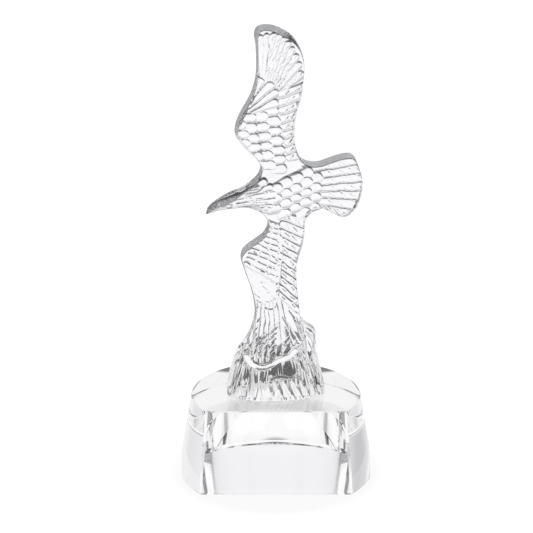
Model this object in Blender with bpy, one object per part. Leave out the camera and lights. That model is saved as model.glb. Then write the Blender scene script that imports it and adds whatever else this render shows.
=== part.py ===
"""Eagle trophy: a crystal eagle cast in one with its rock, standing on a cut crystal base.

Metres, +Z up. The origin is the middle of the base's flat underside, -Y is the front.
"""

import math

import bmesh
import bpy
import numpy as np
from mathutils import Vector
from mathutils.geometry import delaunay_2d_cdt

# Base, a turned block with one flat facet cut down its front
BASE_FOOT_DIAMETER = 0.112
BASE_TOP_DIAMETER = 0.0955
BASE_HEIGHT = 0.047
FACET_SETBACK_FOOT = 0.0367
FACET_SETBACK_TOP = 0.0280
BASE_SEGMENTS = 96

# Casting
SEAT_GAP = 0.0003
FIGURE_HEIGHT = 0.2127
FIGURE_TURN = math.radians(5.0)
EDGE_THICKNESS = 0.0102
MOULD_DRAFT = math.radians(8.0)
TIP_BEVEL = 0.0019
TIP_CURL = 0.0030
BODY_BULGE = 0.0010
HEAD_BULGE = 0.0012
BEAK_THICKNESS = 0.0036
BACK_SHARE = 0.55

# Rock under the eagle
ROCK_DEPTH_FOOT = 0.0134
ROCK_DEPTH_NECK = 0.0048
ROCK_EDGE_HALF = 0.0014
ROCK_HALF_WIDTH_FOOT = 0.0278
ROCK_HALF_WIDTH_NECK = 0.0120
ROCK_SHOULDER = 0.0287
CRAG_HEIGHT = 0.0024
ROCK_LUMP = 0.0005
ROCK_RIM = 0.0025

# Carving
FEATHER_STEP = 0.0008
FEATHER_CROWN = 0.0004
FEATHER_WALL = 1.6
SCALE_STEP = 0.0012
ROCK_WING_RISE = 0.0016
ROW_VALLEY = 0.0003
SCALE_LAP = 0.0002
EYE_HEIGHT = 0.0006
BROW_HEIGHT = 0.0005

# Spacing of the solid's points
OUTLINE_STEP = 0.0020
CARVING_STEP = 0.0016
CARVING_PAIR = 0.0003
CARVING_CLEAR = 0.00045
CARVING_RIM = 0.0007
FRONT_STEP = 0.0026
ROCK_STEP = 0.0018
BACK_STEP = 0.0045

# The figure is drawn in thousandths of its own height: x along its width, z up from its foot
UNIT = FIGURE_HEIGHT / 1000.0

BEAK_TO_ROCK = [
    (-182, 497), (-177, 516), (-163, 530), (-143, 543), (-117, 557), (-91, 567), (-65, 585),
    (-48, 603), (-42, 625), (-52, 646), (-68, 663), (-92, 688), (-106, 712), (-105, 738),
    (-91, 771), (-72, 804), (-60, 835), (-53, 868), (-52, 904), (-54, 942), (-59, 970),
    (-56, 988), (-42, 998), (-20, 999), (8, 990), (34, 973), (53, 949), (67, 915), (72, 883),
    (69, 845), (63, 805), (54, 775), (49, 740), (47, 705), (51, 675), (64, 646), (86, 634),
    (110, 633), (135, 641), (163, 650), (188, 653), (203, 645), (213, 622), (222, 593),
    (224, 570), (220, 545), (212, 522), (197, 500), (180, 490), (162, 490), (141, 501),
    (118, 511), (95, 505), (80, 489), (76, 465), (73, 430), (65, 398), (57, 368), (54, 335),
    (56, 295), (61, 250), (65, 214),
]
ROCK_RIGHT = [
    (65, 214), (82, 196), (104, 178), (108, 145), (111, 115), (115, 85), (122, 57),
    (128, 28), (131, 0),
]
FOOT = [(131, 0), (-130, 0)]
ROCK_TO_BEAK = [
    (-130, 0), (-130, 24), (-127, 52), (-120, 80), (-112, 106), (-102, 130), (-88, 148),
    (-76, 168), (-68, 186), (-61, 207), (-57, 230), (-58, 250), (-62, 275), (-69, 303),
    (-78, 328), (-87, 356), (-93, 378), (-92, 393), (-82, 408), (-65, 421), (-47, 434),
    (-34, 445), (-26, 459), (-23, 476), (-29, 490), (-44, 505), (-61, 515), (-80, 520),
    (-107, 518), (-133, 515), (-160, 510), (-182, 497),
]
ROCK_TOP = 170
EYE = (-127, 530)
BROW = ((-150, 537), (-108, 541))


def clear_scene():
    """Start from an empty scene."""
    for item in list(bpy.data.objects):
        bpy.data.objects.remove(item, do_unlink=True)


def crystal(name, colour, roughness):
    """Clear crystal."""
    material = bpy.data.materials.new(name)
    material.use_nodes = True
    shader = material.node_tree.nodes["Principled BSDF"]
    shader.inputs["Base Color"].default_value = (*colour, 1.0)
    shader.inputs["Roughness"].default_value = roughness
    shader.inputs["Metallic"].default_value = 0.0
    shader.inputs["IOR"].default_value = 1.52
    shader.inputs["Transmission Weight"].default_value = 1.0
    return material


def crystal_base():
    """Turned block, wider at the foot, cut flat down its front."""
    form = bmesh.new()
    bmesh.ops.create_cone(
        form, cap_ends=True, segments=BASE_SEGMENTS,
        radius1=BASE_FOOT_DIAMETER / 2, radius2=BASE_TOP_DIAMETER / 2, depth=BASE_HEIGHT,
    )
    bmesh.ops.translate(form, verts=form.verts, vec=(0, 0, BASE_HEIGHT / 2))
    lean_in = FACET_SETBACK_FOOT - FACET_SETBACK_TOP
    cut = bmesh.ops.bisect_plane(
        form, geom=form.verts[:] + form.edges[:] + form.faces[:],
        plane_co=(0, -FACET_SETBACK_FOOT, 0), plane_no=(0, -BASE_HEIGHT, lean_in),
        clear_outer=True,
    )
    rim = [item for item in cut["geom_cut"] if isinstance(item, bmesh.types.BMEdge)]
    bmesh.ops.contextual_create(form, geom=rim)
    bmesh.ops.recalc_face_normals(form, faces=form.faces)
    mesh = bpy.data.meshes.new("crystal_base")
    form.to_mesh(mesh)
    form.free()
    mesh.shade_smooth()
    mesh.set_sharp_from_angle(angle=math.radians(25.0))
    return mesh


def smooth_stroke(points, step):
    """Evenly spaced points along a smooth curve through the given ones, the last left out."""
    knots = np.array(points, float)
    before = 2 * knots[0] - knots[1]
    after = 2 * knots[-1] - knots[-2]
    padded = np.vstack([before, knots, after])
    fine = []
    for first in range(len(knots) - 1):
        a, b, c, d = padded[first:first + 4]
        for share in np.linspace(0, 1, 24, endpoint=False):
            fine.append(
                0.5 * (2 * b + (c - a) * share + (2 * a - 5 * b + 4 * c - d) * share ** 2
                       + (3 * b - 3 * c + d - a) * share ** 3)
            )
    fine.append(knots[-1])
    fine = np.array(fine)
    run = np.concatenate([[0], np.cumsum(np.linalg.norm(np.diff(fine, axis=0), axis=1))])
    pieces = max(2, round(run[-1] / step))
    places = np.linspace(0, run[-1], pieces + 1)[:-1]
    return np.stack([np.interp(places, run, fine[:, axis]) for axis in (0, 1)], axis=1)


def outline():
    """The figure's closed outline, the outward direction at each point, and its foot points."""
    step = OUTLINE_STEP / UNIT
    strokes = [
        smooth_stroke(BEAK_TO_ROCK, step),
        smooth_stroke(ROCK_RIGHT, step),
        smooth_stroke(FOOT, step),
        smooth_stroke(ROCK_TO_BEAK, step),
    ]
    points = np.vstack(strokes)
    along = np.roll(points, -1, axis=0) - np.roll(points, 1, axis=0)
    along /= np.linalg.norm(along, axis=1)[:, None]
    outward = np.stack([-along[:, 1], along[:, 0]], axis=1)
    on_foot = points[:, 1] < 1e-6
    outward[on_foot] = 0.0
    corners = np.flatnonzero(on_foot & (np.abs(points[:, 0]) > 0.99 * np.abs(points[on_foot, 0]).max()))
    outward[corners, 0] = np.sign(points[corners, 0])
    return points, outward, on_foot


def ramp(values, low, high):
    """Smooth step from 0 at low to 1 at high."""
    share = np.clip((values - low) / (high - low), 0.0, 1.0)
    return share * share * (3.0 - 2.0 * share)


def gap_to_line(points, start, end):
    """Distance of each point to the straight line between two points."""
    start = np.array(start, float)
    run = np.array(end, float) - start
    share = np.clip(((points - start) @ run) / max(run @ run, 1e-9), 0.0, 1.0)
    return np.linalg.norm(points - start - share[:, None] * run, axis=1)


def gap_to_sides(points, ring, on_foot):
    """Distance of each point, in metres, to the outline without its straight foot."""
    nearest = np.full(len(points), 1e9)
    for here in range(len(ring)):
        there = (here + 1) % len(ring)
        if on_foot[here] and on_foot[there]:
            continue
        nearest = np.minimum(nearest, gap_to_line(points, ring[here], ring[there]))
    return nearest * UNIT


def spread(first, last, count, middle=None):
    """Places from the first to the last, on a curve through the middle one if it is given."""
    shares = np.linspace(0, 1, count)[:, None]
    first = np.array(first, float)
    last = np.array(last, float)
    if middle is None:
        return first + (last - first) * shares
    pull = 2 * np.array(middle, float) - (first + last) / 2
    return (1 - shares) ** 2 * first + 2 * shares * (1 - shares) * pull + shares ** 2 * last


def feather(root, tip, halves, lift=0.0, step=FEATHER_STEP, round_end=1.0):
    """One feather: where it grows, where it ends, its half widths there and how it lies."""
    run = np.array(tip, float) - np.array(root, float)
    length = float(np.linalg.norm(run))
    return {
        "root": np.array(root, float), "axis": run / length, "length": length, "halves": halves,
        "lift": lift, "step": step, "end": min(halves[1] * round_end, 0.8 * length),
    }


def half_pitch(places, axis, here):
    """Half the distance between neighbours in a row, measured across the feather."""
    beside = places[max(here - 1, 0):here + 2]
    run = (beside[-1] - beside[0]) / (len(beside) - 1)
    return 0.5 * abs(axis[0] * run[1] - axis[1] * run[0])


def fan(roots, tips, **lie):
    """A row of feathers from matching roots and tips, with a valley left between them."""
    row = []
    valley = ROW_VALLEY / UNIT
    for here, (root, tip) in enumerate(zip(roots, tips)):
        axis = (tip - root) / np.linalg.norm(tip - root)
        halves = [max(half_pitch(places, axis, here) - valley, valley) for places in (roots, tips)]
        row.append(feather(root, tip, halves, **lie))
    return row


def scales(tips, heading, length, **lie):
    """A row of short round feathers that all point the same way and overlap a little."""
    angle = math.radians(heading)
    run = length * np.array([math.cos(angle), math.sin(angle)])
    half = np.linalg.norm(tips[1] - tips[0]) / 2 + SCALE_LAP / UNIT
    return [feather(tip - run, tip, (0.8 * half, half), **lie) for tip in tips]


def raised_wing():
    """Primaries, secondaries, the long coverts at the wrist and the scales of the shoulder."""
    rows = fan(spread((-40, 840), (-2, 822), 8), spread((-44, 976), (66, 876), 8, (24, 962)))
    rows += fan(spread((2, 818), (28, 652), 9), spread((76, 842), (68, 664), 9, (56, 748)))
    rows += fan(
        spread((-76, 800), (-64, 774), 4), spread((-40, 864), (2, 800), 4, (-4, 840)), lift=0.0009,
    )
    rows += scales(spread((4, 776), (24, 626), 7), 4, 38, lift=0.0005)
    rows += scales(spread((-26, 764), (-6, 636), 6), 4, 38, lift=0.0007)
    rows += scales(spread((-56, 762), (-36, 658), 5), 4, 38, lift=0.0009)
    rows += scales(spread((-80, 744), (-70, 696), 3), 4, 30, lift=0.0010)
    return rows


def tail_and_body():
    """The tail's fan, the scales of the body and the hackles of the neck."""
    rows = fan(spread((66, 622), (90, 522), 7), spread((206, 646), (190, 500), 7, (234, 574)))
    for tip_x, low_z, count in ((114, 524, 4), (90, 511, 5), (64, 524, 4), (38, 511, 4), (12, 524, 3)):
        tips = spread((tip_x - 4, low_z), (tip_x, low_z + 27 * (count - 1)), count)
        rows += scales(tips, 18, 34, lift=0.0004, step=SCALE_STEP)
    rows += fan(
        spread((-92, 570), (-90, 528), 6), spread((-28, 594), (-14, 514), 6, (0, 552)),
        step=SCALE_STEP,
    )
    return rows


def lowered_wing():
    """Both rows of short flight feathers, and the primaries that lie on the rock."""
    rows = fan(spread((10, 500), (2, 290), 11), spread((84, 474), (70, 232), 11, (66, 352)))
    rows += fan(spread((-40, 478), (-70, 392), 7), spread((10, 480), (10, 376), 7, (16, 428)))
    rows += fan(
        spread((-54, 262), (16, 284), 8), spread((-74, 124), (60, 170), 8, (-14, 92)),
        lift=0.0006, step=ROCK_WING_RISE,
    )
    return rows


def half_at(one, along):
    """A feather's half width at a place along it."""
    share = np.clip(along / one["length"], 0.0, 1.0)
    return one["halves"][0] + (one["halves"][1] - one["halves"][0]) * share


def feather_inside(points, one):
    """Places along and across one feather, and how far inside its edge each point lies."""
    away = points - one["root"]
    along = away @ one["axis"]
    across = away @ np.array([-one["axis"][1], one["axis"][0]])
    half = half_at(one, along)
    past = np.maximum(along - (one["length"] - one["end"]), 0.0) / one["end"]
    inside = np.minimum((1 - np.hypot(past, across / half)) * half, along + 0.5 * half)
    return np.clip(along / one["length"], 0.0, 1.0), across / half, inside


def feather_height(points, one):
    """Height of one feather over the bare form, in metres."""
    share, across, inside = feather_inside(points, one)
    rise = one["lift"] + one["step"] * share
    rise = rise + FEATHER_CROWN * (1 - np.minimum(across * across, 1.0))
    return rise - FEATHER_WALL * np.maximum(-inside, 0.0) * UNIT


def carving(points, feathers):
    """Height of the highest feather at each point, and nothing below the bare form."""
    height = np.zeros(len(points))
    for one in feathers:
        height = np.maximum(height, feather_height(points, one))
    return height


def crags():
    """Pointed ridges of the rock: where each starts at the foot, its top and its half width."""
    ridges = []
    for feet, tops, half in (
        (spread((-112, -6), (118, -6), 9), spread((-82, 150), (100, 176), 9, (12, 96)), 17),
        (spread((-98, -6), (104, -6), 8), spread((-92, 88), (98, 96), 8, (2, 58)), 12),
        (spread((72, -6), (104, -6), 2), spread((72, 206), (96, 184), 2), 15),
    ):
        ridges += [feather(foot, top, (half, half), round_end=2.2) for foot, top in zip(feet, tops)]
    return ridges


def rock_carving(points, ridges):
    """Height of the rock's ridges, and of the uneven ground between them."""
    x, z = points[:, 0], points[:, 1]
    height = ROCK_LUMP * np.sin(x / 9.0 + 1.3 * np.sin(z / 21.0)) * np.sin(z / 12.0 + np.sin(x / 14.0))
    for number, one in enumerate(ridges):
        share, across, inside = feather_inside(points, one)
        ridge = CRAG_HEIGHT * (1 - 0.25 * (number % 3)) * (1 - np.abs(across)) * (0.75 + 0.25 * share)
        height = np.maximum(height, np.where(inside > 0, ridge, height))
    return height


def rock_fade(points, gap):
    """The rock's carving runs out at the outline and at the foot."""
    return ramp(gap, 0.0, ROCK_RIM) * ramp(points[:, 1] * UNIT, 0.0, ROCK_RIM)


def curl(z):
    """How far the wing tip curls forward."""
    return TIP_CURL * np.clip((z - 860.0) / 140.0, 0.0, 1.0) ** 2


def edge_half(z):
    """Half the casting's thickness at its outline."""
    return ROCK_EDGE_HALF + (EDGE_THICKNESS / 2 - ROCK_EDGE_HALF) * ramp(z, 90.0, 235.0)


def bare_form(points, gap):
    """Half depth of the figure without its carving, and how much of it is rock."""
    z = points[:, 1]
    body = gap_to_line(points, (-40, 560), (95, 570)) / 70.0
    head = gap_to_line(points, (-165, 520), (-60, 548)) / 42.0
    slab = edge_half(z) + BODY_BULGE * ramp(1 - body, 0.0, 0.9)
    slab = slab + HEAD_BULGE * np.clip(1 - head ** 2, 0, 1) ** 1.5
    from_beak = np.linalg.norm(points - np.array(BEAK_TO_ROCK[0]), axis=1)
    beak_share = BEAK_THICKNESS / EDGE_THICKNESS
    slab = slab * (beak_share + (1 - beak_share) * ramp(from_beak, 0.0, 100.0))
    up = np.clip(z / 250.0, 0.0, 1.0)
    under = np.clip(1 - z * UNIT / ROCK_SHOULDER, 0.0, 1.0)
    depth = ROCK_DEPTH_NECK + (ROCK_DEPTH_FOOT - ROCK_DEPTH_NECK) * under ** 1.5
    width = ROCK_HALF_WIDTH_FOOT + (ROCK_HALF_WIDTH_NECK - ROCK_HALF_WIDTH_FOOT) * up
    side = 1 - np.clip(gap / width, 0.0, 1.0)
    rock = depth * np.sqrt(np.clip(1 - side * side, 0.0, 1.0))
    return np.maximum(slab, rock), ramp(rock - slab, -0.0012, 0.0008)


def face_carving():
    """The eagle's eye and brow, as small raised forms."""
    return [(EYE, EYE, 6.0, EYE_HEIGHT), (BROW[0], BROW[1], 7.0, BROW_HEIGHT)]


def front_depth(points, gap, feathers):
    """Depth of the carved front, from the middle plane towards the viewer."""
    form, rocky = bare_form(points, gap)
    feathered = carving(points, feathers)
    bare_rock = rock_carving(points, crags()) * rocky * rock_fade(points, gap)
    depth = form + np.where(feathered > 0.0, np.maximum(feathered, bare_rock), bare_rock)
    for start, end, radius, height in face_carving():
        depth = depth + height * np.clip(1 - (gap_to_line(points, start, end) / radius) ** 2, 0, 1)
    return depth + curl(points[:, 1])


def back_depth(points, gap):
    """Depth of the plainer back, from the middle plane away from the viewer."""
    form, rocky = bare_form(points, gap)
    edge = np.minimum(edge_half(points[:, 1]), form)
    plain = edge + BACK_SHARE * (form - edge)
    low = rock_carving(points, crags()) * rocky * rock_fade(points, gap)
    return plain + (form - plain) * rocky + low - curl(points[:, 1])


def inside_ring(points, ring):
    """Whether each point lies inside a closed ring."""
    inside = np.zeros(len(points), bool)
    nearer = np.roll(ring, -1, axis=0)
    for (ax, az), (bx, bz) in zip(ring, nearer):
        crosses = (az > points[:, 1]) != (bz > points[:, 1])
        if not crosses.any():
            continue
        at = ax + (points[:, 1] - az) / (bz - az if bz != az else 1.0) * (bx - ax)
        inside ^= crosses & (points[:, 0] < at)
    return inside


def lattice(step):
    """Points of a triangular lattice that covers the figure."""
    row_step = step * math.sqrt(3) / 2
    places = []
    for row in range(int(1000 / row_step) + 2):
        start = -200 + (step / 2 if row % 2 else 0.0)
        for column in range(int(440 / step) + 2):
            places.append((start + column * step, row * row_step))
    return np.array(places)


def feather_contour(one, offset):
    """Points round one feather, from its flank over its tip to its other flank."""
    step = CARVING_STEP / UNIT
    straight = one["length"] - one["end"]
    start = 0.2 * straight
    flank = np.linspace(start, straight, max(2, round((straight - start) / step)))
    turns = max(4, round(math.pi / 2 * (one["halves"][1] + one["end"]) / step))
    places = [(at, half_at(one, at) + offset) for at in flank]
    for angle in np.linspace(math.pi / 2, -math.pi / 2, turns)[1:-1]:
        at = straight + (one["end"] + offset) * math.cos(angle)
        places.append((at, (half_at(one, at) + offset) * math.sin(angle)))
    places += [(at, -half_at(one, at) - offset) for at in flank[::-1]]
    places = np.array(places)
    across = np.array([-one["axis"][1], one["axis"][0]])
    return one["root"] + places[:, :1] * one["axis"] + places[:, 1:] * across


def carving_lines(feathers, ring, on_foot):
    """Points and the lines that join them, along the top and the foot of each step that shows."""
    taken = Crowd(CARVING_CLEAR / UNIT)
    for place in ring:
        taken.add(place)
    points = []
    lines = []
    for one in sorted(feathers, key=lambda item: -item["lift"] - item["step"]):
        for offset, sunk in ((-CARVING_PAIR / UNIT, 0.00005), (CARVING_PAIR / UNIT, 0.0012)):
            places = feather_contour(one, offset)
            shows = feather_height(places, one) > carving(places, feathers) - sunk
            shows &= inside_ring(places, ring)
            shows &= gap_to_sides(places, ring, on_foot) > CARVING_RIM
            shows &= places[:, 1] > CARVING_RIM / UNIT
            last = None
            for place, seen in zip(places, shows):
                if not seen or not taken.is_clear(place):
                    last = None
                    continue
                taken.add(place)
                points.append(place)
                if last is not None:
                    lines.append((last, len(points) - 1))
                last = len(points) - 1
    return np.array(points), lines


class Crowd:
    """Places that keep a distance from each other."""

    def __init__(self, clear):
        self.clear = clear
        self.cells = {}

    def cell(self, place):
        return int(place[0] // self.clear), int(place[1] // self.clear)

    def add(self, place):
        self.cells.setdefault(self.cell(place), []).append(place)

    def is_clear(self, place):
        column, row = self.cell(place)
        for near_column in (column - 1, column, column + 1):
            for near_row in (row - 1, row, row + 1):
                for other in self.cells.get((near_column, near_row), ()):
                    if math.dist(place, other) < self.clear:
                        return False
        return True


def fill_between(candidates, standing, clear):
    """Those candidates that keep clear of the points that stand already."""
    crowd = Crowd(clear)
    for place in standing:
        crowd.add(place)
    return np.array([place for place in candidates if crowd.is_clear(place)])


def filled(ring, inner, lines=()):
    """Triangles over the inside of a ring: all their points, the ring's numbers among them."""
    count = len(ring)
    places = [Vector((x, z)) for x, z in np.vstack([ring, inner])]
    edges = [(here, (here + 1) % count) for here in range(count)]
    edges += [(count + start, count + end) for start, end in lines]
    found = delaunay_2d_cdt(places, edges, [list(range(count))], 1, 0.02)
    points = np.array([tuple(place) for place in found[0]])
    number = {}
    for here, sources in enumerate(found[3]):
        for source in sources:
            number[source] = here
    return points, found[2], [number[here] for here in range(count)]


def inset(ring, outward, depth):
    """The outline drawn in by the mould's draft, more at the bevelled wing tip."""
    bevel = TIP_BEVEL * ramp(ring[:, 1], 930.0, 985.0)
    from_beak = np.linalg.norm(ring - np.array(BEAK_TO_ROCK[0]), axis=1)
    drawn = (depth * math.tan(MOULD_DRAFT) + bevel) / UNIT * (0.3 + 0.7 * ramp(from_beak, 0.0, 45.0))
    moved = ring - outward * drawn[:, None]
    moved[:, 1] = np.maximum(moved[:, 1], 0.0)
    return moved


def eagle_figure():
    """The casting: a carved front, walls that draw in from a middle plane, and a plain back."""
    ring, outward, on_foot = outline()
    feathers = raised_wing() + tail_and_body() + lowered_wing()
    foot_gap = np.where(on_foot, gap_to_sides(ring, ring, on_foot), 0.0)

    rim_form = bare_form(ring, foot_gap)[0]
    front_ring = inset(ring, outward, rim_form)
    back_ring = inset(ring, outward, rim_form)

    carved, lines = carving_lines(feathers, front_ring, on_foot)
    plain = lattice(FRONT_STEP / UNIT)
    rocky = lattice(ROCK_STEP / UNIT)
    fill = np.vstack([rocky[rocky[:, 1] < ROCK_TOP], plain[plain[:, 1] >= ROCK_TOP]])
    fill = fill[inside_ring(fill, front_ring) & (fill[:, 1] > 0.4 * ROCK_STEP / UNIT)]
    fill = fill_between(fill, np.vstack([front_ring, carved]), 0.5 * FRONT_STEP / UNIT)
    front, front_faces, front_rim = filled(front_ring, np.vstack([carved, fill]), lines)

    fill = lattice(BACK_STEP / UNIT)
    fill = fill[inside_ring(fill, back_ring) & (fill[:, 1] > 0.4 * BACK_STEP / UNIT)]
    fill = fill_between(fill, back_ring, 0.45 * BACK_STEP / UNIT)
    back, back_faces, back_rim = filled(back_ring, fill)

    front_gap = gap_to_sides(front, front_ring, on_foot)
    back_gap = gap_to_sides(back, back_ring, on_foot)
    front_gap[front_rim] = foot_gap
    back_gap[back_rim] = foot_gap

    drawn = np.vstack([front, ring, back])
    depth = np.concatenate([
        front_depth(front, front_gap, feathers), curl(ring[:, 1]), -back_depth(back, back_gap),
    ])
    middle = len(front)
    rear = middle + len(ring)
    faces = list(front_faces)
    for here in range(len(ring)):
        there = (here + 1) % len(ring)
        faces.append((front_rim[here], front_rim[there], middle + there, middle + here))
        faces.append((middle + here, middle + there, rear + back_rim[there], rear + back_rim[here]))
    faces += [tuple(rear + corner for corner in face) for face in back_faces]

    foot = BASE_HEIGHT + SEAT_GAP
    sideways = np.array([math.cos(FIGURE_TURN), math.sin(FIGURE_TURN)])
    forwards = np.array([math.sin(FIGURE_TURN), -math.cos(FIGURE_TURN)])
    ground = drawn[:, :1] * UNIT * sideways + depth[:, None] * forwards
    places = np.column_stack([ground, foot + drawn[:, 1] * UNIT])

    mesh = bpy.data.meshes.new("eagle_figure")
    mesh.from_pydata(places.tolist(), [], faces)
    form = bmesh.new()
    form.from_mesh(mesh)
    bmesh.ops.triangulate(form, faces=[face for face in form.faces if len(face.verts) > 3])
    bmesh.ops.recalc_face_normals(form, faces=form.faces)
    form.to_mesh(mesh)
    form.free()
    mesh.shade_smooth()
    mesh.set_sharp_from_angle(angle=math.radians(38.0))
    return mesh


def place(name, mesh, material):
    """One sub-part with its material."""
    mesh.materials.append(material)
    item = bpy.data.objects.new(name, mesh)
    bpy.context.scene.collection.objects.link(item)
    return item


def build():
    """The base, and the casting that stands on it."""
    clear_scene()
    place("crystal_base", crystal_base(), crystal("cut_crystal", (1.0, 1.0, 1.0), 0.02))
    place("eagle_figure", eagle_figure(), crystal("cast_crystal", (0.99, 0.99, 1.0), 0.05))


build()
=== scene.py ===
# %% [markdown]
# # A crystal eagle trophy
# An award for a desk: an eagle pressed in clear crystal together with its rock, cemented to a cut
# and polished crystal base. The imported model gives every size, and this lesson gives the looks:
# the carving of the feathers, the rock, the two ways in which the crystal was finished, and the
# bright studio that clear crystal needs. Lengths are metres, +Z is up and -Y is the front.

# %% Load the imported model
import math

import bpy
import numpy as np
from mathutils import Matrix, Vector
from mathutils.geometry import delaunay_2d_cdt
from mathutils.kdtree import KDTree


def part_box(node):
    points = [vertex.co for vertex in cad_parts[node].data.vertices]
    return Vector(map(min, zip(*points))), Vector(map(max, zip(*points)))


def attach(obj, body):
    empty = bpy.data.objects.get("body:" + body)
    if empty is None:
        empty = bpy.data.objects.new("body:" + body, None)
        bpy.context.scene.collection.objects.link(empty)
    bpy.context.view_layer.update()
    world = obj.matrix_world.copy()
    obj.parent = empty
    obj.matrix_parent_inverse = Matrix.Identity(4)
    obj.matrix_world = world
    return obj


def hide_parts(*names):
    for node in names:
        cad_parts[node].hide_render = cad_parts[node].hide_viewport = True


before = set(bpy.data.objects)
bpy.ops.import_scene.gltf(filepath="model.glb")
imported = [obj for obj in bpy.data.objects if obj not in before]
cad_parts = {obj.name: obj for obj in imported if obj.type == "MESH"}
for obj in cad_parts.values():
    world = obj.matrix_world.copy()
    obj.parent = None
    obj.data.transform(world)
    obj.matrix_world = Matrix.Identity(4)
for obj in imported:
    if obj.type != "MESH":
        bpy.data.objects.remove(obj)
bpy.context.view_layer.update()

base_low, base_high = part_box("crystal_base")
figure_low, figure_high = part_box("eagle_figure")


def start_clean():
    """Nothing selected, so that the next operator acts on the new piece alone."""
    if bpy.context.object and bpy.context.object.mode != "OBJECT":
        bpy.ops.object.mode_set(mode="OBJECT")
    bpy.ops.object.select_all(action="DESELECT")


# %% [markdown]
# ## The camera
# The base is a known shape: its two rims and the four corners of its facet say where the camera
# stood, about 1.2 m away and looking down by 19 degrees, with a long lens.

# %% Place the camera
CAMERA_PLACE = (-0.0053, -1.1107, 0.5012)
CAMERA_TILT = math.radians(71.16)
CAMERA_LENS = 143.0

start_clean()
bpy.ops.object.camera_add(location=CAMERA_PLACE, rotation=(CAMERA_TILT, 0, 0))
camera = bpy.context.object
camera.name = "trophy_camera"
camera.data.sensor_width = 36.0
camera.data.lens = CAMERA_LENS
bpy.context.scene.camera = camera
print("camera", round(camera.location.length, 3), "m from the foot")

# %% [markdown]
# ## The base
# The real base is a block of optical crystal, turned to a cone, cut flat on one side, ground and
# polished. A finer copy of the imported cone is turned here, cut by the same plane, and given the
# thin polished bevels that catch the light along every edge. The plane is read from the packed
# base: its foot and its top stand at two distances in front of the axis.

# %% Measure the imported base
base_points = np.array([corner.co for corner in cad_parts["crystal_base"].data.vertices])
base_height = base_high.z
top_points = base_points[base_points[:, 2] > base_height - 1e-5]
foot_radius = base_high.x
top_radius = top_points[:, 0].max()
facet_foot = -base_low.y
facet_top = -top_points[:, 1].min()
print("base", [
    round(1000 * size, 1) for size in (foot_radius, top_radius, facet_foot, facet_top, base_height)
], "mm")

# %% [markdown]
# A block of glass comes off the wheel with both rims broken by a narrow bevel, the foot's the
# wider because it takes the knocks. So the cone's two rims are picked by height and bevelled
# before the facet is cut, as the grinder does it.

# %% Turn the base
TOP_BEVEL = 0.0004
FOOT_BEVEL = 0.0014

start_clean()
bpy.ops.mesh.primitive_cone_add(
    vertices=360, radius1=foot_radius, radius2=top_radius, depth=base_height,
    location=(0, 0, base_height / 2),
)
base = bpy.context.object
base.name = "crystal_base_polished"
bpy.ops.object.transform_apply(location=True, rotation=True, scale=True)
for rim_height, width in ((0.0, FOOT_BEVEL), (base_height, TOP_BEVEL)):
    bpy.ops.object.mode_set(mode="EDIT")
    bpy.ops.mesh.select_mode(type="EDGE")
    bpy.ops.mesh.select_all(action="DESELECT")
    bpy.ops.object.mode_set(mode="OBJECT")
    corners = base.data.vertices
    for edge in base.data.edges:
        edge.select = all(abs(corners[end].co.z - rim_height) < 1e-6 for end in edge.vertices)
    bpy.ops.object.mode_set(mode="EDIT")
    bpy.ops.mesh.bevel(offset=width, segments=1, affect="EDGES")
    bpy.ops.object.mode_set(mode="OBJECT")
print("turned base", len(base.data.polygons), "faces")

# %% [markdown]
# The facet and each of its bevels are one cut by a plane, closed again. A plane between two faces,
# moved in by the bevel's width, breaks the edge between them.

# %% Grind the facet and break its edges
SIDE_BEVEL = 0.00035


def grind(place, normal):
    """Cut everything off the base beyond a plane and close the cut."""
    bpy.ops.mesh.select_all(action="SELECT")
    bpy.ops.mesh.bisect(plane_co=place, plane_no=normal, use_fill=True, clear_outer=True)


facet_normal = Vector((0, -base_height, facet_foot - facet_top)).normalized()
start_clean()
base.select_set(True)
bpy.context.view_layer.objects.active = base
bpy.ops.object.mode_set(mode="EDIT")
grind((0, -facet_foot, 0), facet_normal)
grind((0, FOOT_BEVEL - facet_foot, 0), facet_normal + Vector((0, 0, -1)))
grind((0, TOP_BEVEL - facet_top, base_height), facet_normal + Vector((0, 0, 1)))
for side in (-1, 1):
    foot_corner = Vector((side * math.sqrt(foot_radius ** 2 - facet_foot ** 2), -facet_foot, 0))
    top_corner = Vector((side * math.sqrt(top_radius ** 2 - facet_top ** 2), -facet_top, base_height))
    wall = Vector((foot_corner.x, foot_corner.y, 0)).normalized()
    edge = (top_corner - foot_corner).normalized()
    broken = (wall + facet_normal).normalized()
    broken = (broken - broken.dot(edge) * edge).normalized()
    grind(foot_corner - SIDE_BEVEL * broken, broken)
bpy.ops.mesh.select_all(action="SELECT")
bpy.ops.mesh.normals_make_consistent(inside=False)
bpy.ops.object.mode_set(mode="OBJECT")
bpy.ops.object.shade_smooth_by_angle(angle=math.radians(12))
print("base", len(base.data.polygons), "faces")

# %% [markdown]
# ## The figure's outline
# The eagle and its rock are one pressing, a slab in the outline of the bird that is thickest in
# the rock. The outline is drawn in thousandths of the figure's height, x along its width and z up
# from its foot, and a smooth curve runs through the drawn points. The rock's foot is straight, and
# its two corners stay sharp, so the outline is put together from four strokes.

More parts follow.
